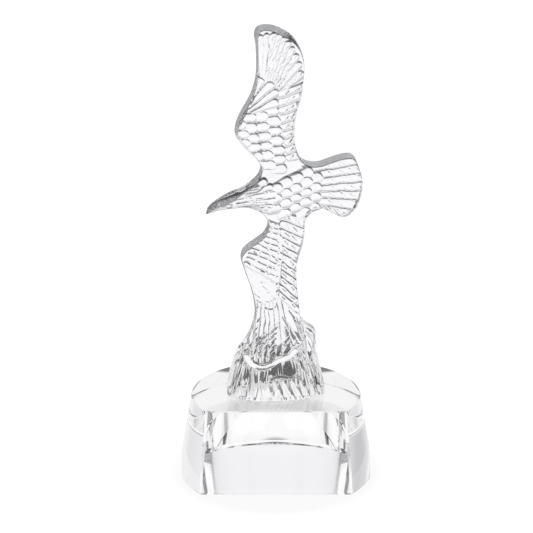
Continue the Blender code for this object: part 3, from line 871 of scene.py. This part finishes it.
def fill_ring(ring, step):
    """Even triangles over the inside of a ring: the points, the faces, the ring's numbers."""
    row = step * math.sqrt(3) / 2
    rows = np.arange(0.5 * row, 1000, row)
    columns = np.arange(-200, 240, step)
    grid_z, grid_x = np.meshgrid(rows, columns, indexing="ij")
    grid_x = grid_x + (np.arange(len(rows)) % 2 * step / 2)[:, None]
    lattice = np.column_stack([grid_x.ravel(), grid_z.ravel()])
    lattice = lattice[inside_ring(lattice, ring)]
    lattice = lattice[gap_to_sides(lattice, ring) > 0.6 * step * UNIT]
    count = len(ring)
    places = [Vector(place) for place in np.vstack([ring, lattice])]
    edges = [(here, (here + 1) % count) for here in range(count)]
    found = delaunay_2d_cdt(places, edges, [list(range(count))], 1, 1e-5)
    number = {source: here for here, sources in enumerate(found[3]) for source in sources}
    return np.array([tuple(place) for place in found[0]]), found[2], [number[n] for n in range(count)]


front, front_faces, front_rim = fill_ring(rim, FINE_STEP)
back, back_faces, back_rim = fill_ring(rim, BACK_STEP)
front_gap = gap_to_sides(front, rim)
back_gap = gap_to_sides(back, rim)
front_gap[front_rim] = foot_gap
back_gap[back_rim] = foot_gap
front_y = front_depth(front, front_gap)
back_y = -back_depth(back, back_gap)
print("front", len(front_faces), "back", len(back_faces))

# %% [markdown]
# The wall between the faces is bridged in five rows. Each row takes its depth between the front's
# rim and the back's, and its place between the outline and the drawn-in rim.

# %% Bridge the wall
WALL_ROWS = 5

middle = tip_curl(outline)
points = [front]
depths = [front_y]
rows = [np.array(front_rim)]
count = len(front)
for row in range(1, WALL_ROWS):
    share = row / WALL_ROWS
    depth = front_y[front_rim] * (1 - share) + back_y[back_rim] * share
    from_middle = np.abs(depth - middle) / np.maximum(front_y[front_rim] - middle, 1e-6)
    points.append(outline + (rim - outline) * np.minimum(from_middle, 1.0)[:, None])
    depths.append(depth)
    rows.append(count + np.arange(len(outline)))
    count += len(outline)
points.append(back)
depths.append(back_y)
rows.append(count + np.array(back_rim))
faces = [tuple(face) for face in front_faces]
for near, far in zip(rows[:-1], rows[1:]):
    for here in range(len(outline)):
        there = (here + 1) % len(outline)
        faces.append((near[here], near[there], far[there], far[here]))
faces += [tuple(count + corner for corner in face) for face in back_faces]
drawn = np.vstack(points)
depth = np.concatenate(depths)
print("pressing", len(drawn), "corners")

# %% [markdown]
# The figure stands turned by five degrees on its base, and a clear cement holds it. The cement is
# too thin to see, so the foot sinks into the base by a hair, and no film of air is left to shine
# between them.

# %% Stand the figure on the base
FIGURE_TURN = math.radians(5.0)
CEMENT = 0.00005

turned_x = np.array([math.cos(FIGURE_TURN), math.sin(FIGURE_TURN)])
turned_y = np.array([math.sin(FIGURE_TURN), -math.cos(FIGURE_TURN)])
ground = drawn[:, :1] * UNIT * turned_x + depth[:, None] * turned_y
foot_z = base_height - CEMENT
tall = (figure_high.z - foot_z) / 1000
mesh = bpy.data.meshes.new("eagle_figure_carved")
mesh.from_pydata(np.column_stack([ground, foot_z + drawn[:, 1] * tall]).tolist(), [], faces)
figure = bpy.data.objects.new("eagle_figure_carved", mesh)
bpy.context.scene.collection.objects.link(figure)
start_clean()
figure.select_set(True)
bpy.context.view_layer.objects.active = figure
bpy.ops.object.mode_set(mode="EDIT")
bpy.ops.mesh.select_all(action="SELECT")
bpy.ops.mesh.normals_make_consistent(inside=False)
bpy.ops.object.mode_set(mode="OBJECT")
bpy.ops.object.shade_smooth_by_angle(angle=math.radians(65))
print("figure", sum(len(face.vertices) - 2 for face in mesh.polygons), "triangles")

# %% [markdown]
# The faces of the pressing were polished, and its upper edges were left as the mould gave them. The
# mesh carries that as an attribute: 1 on the wall, 0 on the faces, and only where the outline looks
# up or to the left, off the rock and off the polished crown.

# %% Mark the matt edges
WALL_FADE = 0.0002
CROWN_FADE = (0.0045, 0.0085)

wall_share = np.ones(len(outline) * (WALL_ROWS - 1))
matt_share = np.concatenate([ramp(front_gap, WALL_FADE, 0.0), wall_share, ramp(back_gap, WALL_FADE, 0.0)])
compass = KDTree(len(outline))
for number, (x, z) in enumerate(outline):
    compass.insert((x, z, 0), number)
compass.balance()
facing = outward[[compass.find((x, z, 0))[1] for x, z in drawn]]
matt_share = matt_share * ramp(facing[:, 1] - 0.6 * facing[:, 0], 0.2, 0.6)
matt_share = matt_share * ramp(drawn[:, 1], ROCK_TOP, ROCK_TOP + 30.0)
matt_share = matt_share * ramp(gap_to_path(drawn, CROWN_TOP) * UNIT, *CROWN_FADE)
pressed_edge = mesh.attributes.new("pressed_edge", "FLOAT", "POINT")
pressed_edge.data.foreach_set("value", matt_share)
print("matt corners", int((matt_share > 0.5).sum()))

# %% [markdown]
# ## Shader maths in Python
# A material is a tree of nodes. Drawn by hand, even one sum takes a node and two cords, so one
# small class wraps a socket: Python's own signs then add the Math nodes, and every other node comes
# from one method that takes the node's type, its settings and what goes into its sockets.

# %% Wrap a socket
class Socket:
    """An output in a node tree that takes part in Python expressions."""

    def __init__(self, tree, output=None):
        self.tree = tree
        self.output = output

    def node(self, kind, settings, inputs, output=0):
        """Add a node: first its settings, then the values or links of its sockets."""
        added = self.tree.nodes.new(kind)
        for name, value in settings.items():
            if name == "stops":
                put_stops(added.color_ramp, value)
            else:
                setattr(added, name, value)
        for name, value in inputs.items():
            self.feed(added.inputs[name], value)
        return Socket(self.tree, added.outputs[output])

    def feed(self, socket, value):
        """Link a wrapped output to a socket, or set the socket's own value."""
        if isinstance(value, Socket):
            self.tree.links.new(value.output, socket)
        else:
            socket.default_value = value

    def math(self, operation, first, second):
        return self.node("ShaderNodeMath", {"operation": operation}, {0: first, 1: second})

    def __add__(self, other):
        return self.math("ADD", self, other)

    def __sub__(self, other):
        return self.math("SUBTRACT", self, other)

    def __rsub__(self, other):
        return self.math("SUBTRACT", other, self)

    def __mul__(self, other):
        return self.math("MULTIPLY", self, other)

    def __truediv__(self, other):
        return self.math("DIVIDE", self, other)

    __radd__ = __add__
    __rmul__ = __mul__

    def smooth(self, low, high):
        """Smooth step from 0 at low to 1 at high."""
        return self.node(
            "ShaderNodeMapRange", {"interpolation_type": "SMOOTHSTEP"},
            {"Value": self, "From Min": low, "From Max": high},
        )

    def length(self):
        """Length of a vector."""
        return self.node("ShaderNodeVectorMath", {"operation": "LENGTH"}, {0: self}, "Value")


def put_stops(stops, wanted):
    """Set a colour ramp's stops, each a place and a colour."""
    while len(stops.elements) < len(wanted):
        stops.elements.new(0.5)
    for stop, (place, colour) in zip(stops.elements, wanted):
        stop.position = place
        stop.color = (*colour, 1.0)


def grey(value):
    """A neutral colour of a lightness."""
    return value, value, value


# %% [markdown]
# ## Crystal
# Crystal is all reflection and refraction: clear, smooth and dense. Both pieces have the same glass
# and differ in their finish. The base was cut from a block and lapped until nothing is left of the
# saw, and the only thing inside it is a trace of the cords that any melt has, too faint to bend
# light but enough to tint it unevenly.

# %% Cut and polished crystal
CRYSTAL_INDEX = 1.52
CORD_TINT = (0.992, 0.992, 0.998)
BASE_CORDS = 60.0


def clear_crystal(name):
    """A material of plain clear crystal, its wrapped tree and its shader."""
    material = bpy.data.materials.new(name)
    material.use_nodes = True
    shader = material.node_tree.nodes["Principled BSDF"]
    shader.inputs["Roughness"].default_value = 0.0
    shader.inputs["IOR"].default_value = CRYSTAL_INDEX
    shader.inputs["Transmission Weight"].default_value = 1.0
    return material, Socket(material.node_tree), shader


def melt_cords(tree, scale):
    """The faint uneven tint of a melt, stretched along the way it was poured."""
    place = tree.node("ShaderNodeTexCoord", {}, {}, "Object")
    drawn_out = tree.node("ShaderNodeMapping", {}, {"Vector": place, "Scale": (1.0, 1.0, 0.25)})
    cords = tree.node("ShaderNodeTexNoise", {}, {"Vector": drawn_out, "Scale": scale, "Detail": 3.0})
    return tree.node("ShaderNodeValToRGB", {
        "stops": [(0.35, CORD_TINT), (0.65, grey(1.0))],
    }, {"Fac": cords}, "Color")


polished, tree, shader = clear_crystal("cut_crystal_polished")
tree.feed(shader.inputs["Base Color"], melt_cords(tree, BASE_CORDS))
base.data.materials.append(polished)
print("polished crystal", len(polished.node_tree.nodes), "nodes")

# %% [markdown]
# The figure was pressed in a mould, and its faces are as clear as the base. Along the upper edges
# the skin of the glass stayed matt and grainy. The attribute of the mesh drives the roughness there
# and the strength of a fine grain, and it mixes in an opaque frost in specks, which scatters the
# lamp's light and makes the edges pale.

# %% Pressed crystal
FIGURE_CORDS = 90.0
EDGE_ROUGHNESS = 0.45
GRAIN_SCALE = 1500.0
GRAIN_DEPTH = 0.0005
FROST_WHITE = (0.85, 0.86, 0.88, 1.0)
FROST_ROUGHNESS = 0.6
FROST_SHARE = 0.15
FROST_SPECKLE = 0.60

pressed, tree, shader = clear_crystal("cast_crystal_pressed")
matt = tree.node("ShaderNodeAttribute", {"attribute_name": "pressed_edge"}, {}, "Fac")
in_glass = tree.node("ShaderNodeTexCoord", {}, {}, "Object")
grain = tree.node("ShaderNodeTexNoise", {}, {"Vector": in_glass, "Scale": GRAIN_SCALE, "Detail": 2.0})
grained = tree.node(
    "ShaderNodeBump", {}, {"Strength": matt, "Distance": GRAIN_DEPTH, "Height": grain}, "Normal",
)
tree.feed(shader.inputs["Base Color"], melt_cords(tree, FIGURE_CORDS))
tree.feed(shader.inputs["Roughness"], matt * EDGE_ROUGHNESS)
tree.feed(shader.inputs["Normal"], grained)
frost = tree.node(
    "ShaderNodeBsdfPrincipled", {}, {"Base Color": FROST_WHITE, "Roughness": FROST_ROUGHNESS}, "BSDF",
)
frosted = matt * (grain.smooth(0.35, 0.65) * FROST_SPECKLE + FROST_SHARE)
tree.feed(pressed.node_tree.nodes["Material Output"].inputs["Surface"], tree.node(
    "ShaderNodeMixShader", {}, {0: frosted, 1: Socket(tree.tree, shader.outputs["BSDF"]), 2: frost},
))
figure.data.materials.append(pressed)
print("pressed crystal", len(pressed.node_tree.nodes), "nodes")

# %% [markdown]
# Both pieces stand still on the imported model's one body, and each takes the place of its solid.

# %% Join both pieces to the frame
for piece, node, slot in (
    (base, "crystal_base", "cut_crystal"), (figure, "eagle_figure", "cast_crystal"),
):
    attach(piece, "root")
    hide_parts(node)
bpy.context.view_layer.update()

# %% [markdown]
# ## The studio
# Nothing can be painted on clear crystal: its lights and darks are the studio, seen bent through
# it. The trophy stands on white paper with hardly a shadow. A camera sees the paper, but what the
# crystal shows is worked out from the direction alone, so that a cut looks as dark low on the
# figure as high on it. The one exception is a glowing patch right under the base, which the base
# shows from below, with light and shade painted into its glow: painted reflections of the base's
# own walls and the painted shade of the rock.
#
# The paper glows by itself, so it is evenly white, and a painted shadow makes it a little greyer close
# around the base.
# Under the glow it is dark and glossy, which gives the trophy its faint mirror image.

# %% Lay the paper
PAPER_DROP = 0.00005
SHADE_NEAR = 0.055
SHADE_FAR = 0.085
SHADE_GREY = 0.79
PAPER_DARK = (0.05, 0.05, 0.05, 1)
PAPER_ROUGHNESS = 0.12
PAPER_INDEX = 1.6

start_clean()
bpy.ops.mesh.primitive_plane_add(size=40, location=(0, 0, -PAPER_DROP))
paper = bpy.context.object
paper.name = "studio_paper"
bpy.ops.object.transform_apply(location=True, rotation=True, scale=True)
paper.visible_transmission = False
paper.visible_glossy = False
paper.visible_diffuse = False

paper_white = bpy.data.materials.new("paper_white")
paper_white.use_nodes = True
tree = Socket(paper_white.node_tree)
shader = paper_white.node_tree.nodes["Principled BSDF"]
shader.inputs["Base Color"].default_value = PAPER_DARK
shader.inputs["Roughness"].default_value = PAPER_ROUGHNESS
shader.inputs["IOR"].default_value = PAPER_INDEX
shader.inputs["Emission Strength"].default_value = 1.0
from_base = tree.node("ShaderNodeTexCoord", {}, {}, "Object").length()
# Painted shadow: the paper's glow greys towards the base, from SHADE_FAR in to SHADE_NEAR.
lit = from_base.smooth(SHADE_NEAR, SHADE_FAR) * (1 - SHADE_GREY) + SHADE_GREY
tree.feed(shader.inputs["Emission Color"], tree.node(
    "ShaderNodeCombineColor", {}, {"Red": lit, "Green": lit, "Blue": lit}, "Color",
))
paper.data.materials.append(paper_white)
print("paper", len(paper_white.node_tree.nodes), "nodes")

# %% [markdown]
# The patch under the base glows, and only what is seen through the crystal shows it. Its glow
# has painted light and shade: it is brightest at its rim, a painted reflection of the base's walls,
# and it has a darker middle and two painted shade spots, one in front and one behind, standing for
# the rock's shade, which the facet and the top of the base show as their greys.

# %% Light the patch under the base and paint shade into its glow
GLOW_RADIUS = 0.09
PAINTED_GLOW_RINGS = [(0.027, 0.76), (0.033, 0.92), (0.055, 0.92), (0.062, 1.02)]
PAINTED_SHADE_SPOTS = [((0.0, -0.013, 0.0), (0.028, 0.015), 0.85), ((0.0, 0.041, 0.0), (0.016, 0.020), 0.92)]

start_clean()
bpy.ops.mesh.primitive_circle_add(vertices=180, radius=GLOW_RADIUS, fill_type="NGON")
glow = bpy.context.object
glow.name = "studio_glow"
bpy.ops.transform.translate(value=(0, 0, -0.6 * PAPER_DROP))
bpy.ops.object.transform_apply(location=True, rotation=True, scale=True)
glow.visible_camera = False

glowing = bpy.data.materials.new("glowing_patch")
glowing.use_nodes = True
tree = Socket(glowing.node_tree)
shader = glowing.node_tree.nodes["Principled BSDF"]
shader.inputs["Base Color"].default_value = (0, 0, 0, 1)
shader.inputs["Specular IOR Level"].default_value = 0.0
shader.inputs["Emission Strength"].default_value = 1.0
on_patch = tree.node("ShaderNodeTexCoord", {}, {}, "Object")
# Painted rings: a darker middle and a brighter rim, painted shade and painted reflection in the glow.
rings = tree.node("ShaderNodeValToRGB", {
    "stops": [(radius / GLOW_RADIUS, grey(value)) for radius, value in PAINTED_GLOW_RINGS],
}, {"Fac": on_patch.length() / GLOW_RADIUS}, "Color")
# Painted shade spots darken the glow in front of and behind the rock's foot.
shade = 1.0
for spot, radii, dark in PAINTED_SHADE_SPOTS:
    aside = tree.node("ShaderNodeVectorMath", {"operation": "SUBTRACT"}, {0: on_patch, 1: spot})
    scaled = tree.node(
        "ShaderNodeVectorMath", {"operation": "MULTIPLY"},
        {0: aside, 1: (1 / radii[0], 1 / radii[1], 0.0)},
    )
    shade = shade * (1 - dark * (1 - scaled.length().smooth(0.75, 1.0)))
tree.feed(shader.inputs["Emission Color"], tree.node(
    "ShaderNodeMix", {"data_type": "RGBA"}, {0: shade, 6: (0, 0, 0, 1), 7: rings}, 2,
))
glow.data.materials.append(glowing)
print("patch", len(glowing.node_tree.nodes), "nodes")

# %% [markdown]
# One soft lamp hangs over the trophy, a little in front. It is left out of reflections and of what
# is seen through the crystal, so it only whitens the matt pressed edges.

# %% Hang the lamp
LAMP_PLACE = (0.0, -0.3, 1.3)
LAMP_TILT = math.radians(-15)
LAMP_POWER = 8.0
LAMP_SIDE = 0.8

start_clean()
bpy.ops.object.light_add(type="AREA", location=LAMP_PLACE, rotation=(LAMP_TILT, 0, 0))
lamp = bpy.context.object
lamp.name = "studio_lamp"
lamp.data.size = LAMP_SIDE
lamp.data.energy = LAMP_POWER
lamp.visible_camera = False
lamp.visible_glossy = False
lamp.visible_transmission = False
print("lamp", LAMP_POWER, "watts")

# %% [markdown]
# The rest of the studio is the world, in bands by height. Straight ahead and a little below, where
# one looks through the flat plate, it is white. Steep bevels look far up or down and find black,
# which is how a photographer keeps the edges of glass dark on a white ground. A dark band between
# 24 and 35 degrees below the horizon draws the cuts that face up, and the darks are slightly
# lilac, as in crystal.

# %% Mix the studio's bands
SKY_BANDS = [
    (-90, 0.1), (-72, 0.03), (-50, 0.03), (-45, 0.08), (-42, 0.38), (-38, 0.45), (-35, 0.3), (-31, 0.3),
    (-29, 0.18), (-26, 0.20), (-24, 0.95), (-17, 1.0), (-11, 1.02), (-8, 0.7), (-4, 0.6), (-2, 0.9),
    (4, 0.9), (6, 0.45), (11, 0.45), (13, 0.1), (18, 0.1), (20, 0.93), (27, 0.93), (29, 0.35),
    (35, 0.35), (37, 0.9), (48, 0.9), (51, 0.5), (60, 0.5), (63, 0.02),
]


def height(degrees):
    """Height on a ball of radius 1 at an angle over the horizon."""
    return math.sin(math.radians(degrees))


def lilac(value):
    """A grey with a breath of lilac in it."""
    return 0.985 * value, 0.98 * value + 0.002, value + 0.014 * (1 - value)


world = bpy.data.worlds.new("studio")
bpy.context.scene.world = world
world.use_nodes = True
tree = Socket(world.node_tree)
way = tree.node("ShaderNodeTexCoord", {}, {}, "Generated")
up = tree.node("ShaderNodeSeparateXYZ", {}, {"Vector": way}, "Z")
bands = tree.node("ShaderNodeValToRGB", {
    "stops": [(0.5 + 0.5 * height(degrees), lilac(value)) for degrees, value in SKY_BANDS],
}, {"Fac": up * 0.5 + 0.5}, "Color")
print("bands", len(SKY_BANDS))

# %% [markdown]
# Dark cards stand before the bands, as a photographer's flags do. Two low ones at the sides grey
# the base's walls. Two higher ones finish the walls, which mirror each other's side: the left card
# is the denser, because the right wall is the greyer. A high one over the front keeps the light of
# the front sky out of the crown.

# %% Set up the flags
FLAG_SIDES = (0.52, 0.80)
LOW_FLAG = 0.6
LOW_EDGE = (8, 14)
HIGH_FLAGS = (0.38, 0.08)
HIGH_EDGES = ((16, 19), (29, 32))
FRONT_FLAG = 0.8
FRONT_EDGE = (30, 34)


def above(edge):
    """Smooth step from 0 to 1 between two angles over the horizon."""
    return up.smooth(height(edge[0]), height(edge[1]))


level = tree.node("ShaderNodeVectorMath", {"operation": "MULTIPLY"}, {0: way, 1: (1, 1, 0)})
level = tree.node("ShaderNodeVectorMath", {"operation": "NORMALIZE"}, {0: level})
eastward = tree.node("ShaderNodeSeparateXYZ", {}, {"Vector": level}, "X")
behind = tree.node("ShaderNodeSeparateXYZ", {}, {"Vector": level}, "Y").smooth(-0.3, 0.0)
left_card, right_card = (eastward * -1).smooth(*FLAG_SIDES), eastward.smooth(*FLAG_SIDES)
low_flags = (left_card + right_card) * (1 - above(LOW_EDGE)) * LOW_FLAG
high_flags = left_card * HIGH_FLAGS[0] + right_card * HIGH_FLAGS[1]
flags = low_flags + high_flags * above(HIGH_EDGES[0]) * (1 - above(HIGH_EDGES[1]))
front_flag = above(FRONT_EDGE) * (1 - behind) * FRONT_FLAG
flags = flags + front_flag * (1 - flags)
tree.feed(world.node_tree.nodes["Background"].inputs["Color"], tree.node(
    "ShaderNodeMix", {"data_type": "RGBA"}, {0: flags, 6: bands, 7: (0, 0, 0, 1)}, 2,
))
print("world", len(world.node_tree.nodes), "nodes")

# %% [markdown]
# ## Light paths
# Light may bounce inside crystal many times before it leaves, above all in the base, whose walls
# reflect wholly from inside, so it is given as many bounces as it needs.

# %% Let light bounce long enough
BOUNCES = 32

scene = bpy.context.scene
scene.view_settings.view_transform = "Standard"
scene.cycles.max_bounces = BOUNCES
scene.cycles.transmission_bounces = BOUNCES
scene.cycles.glossy_bounces = BOUNCES
print("bounces", BOUNCES)
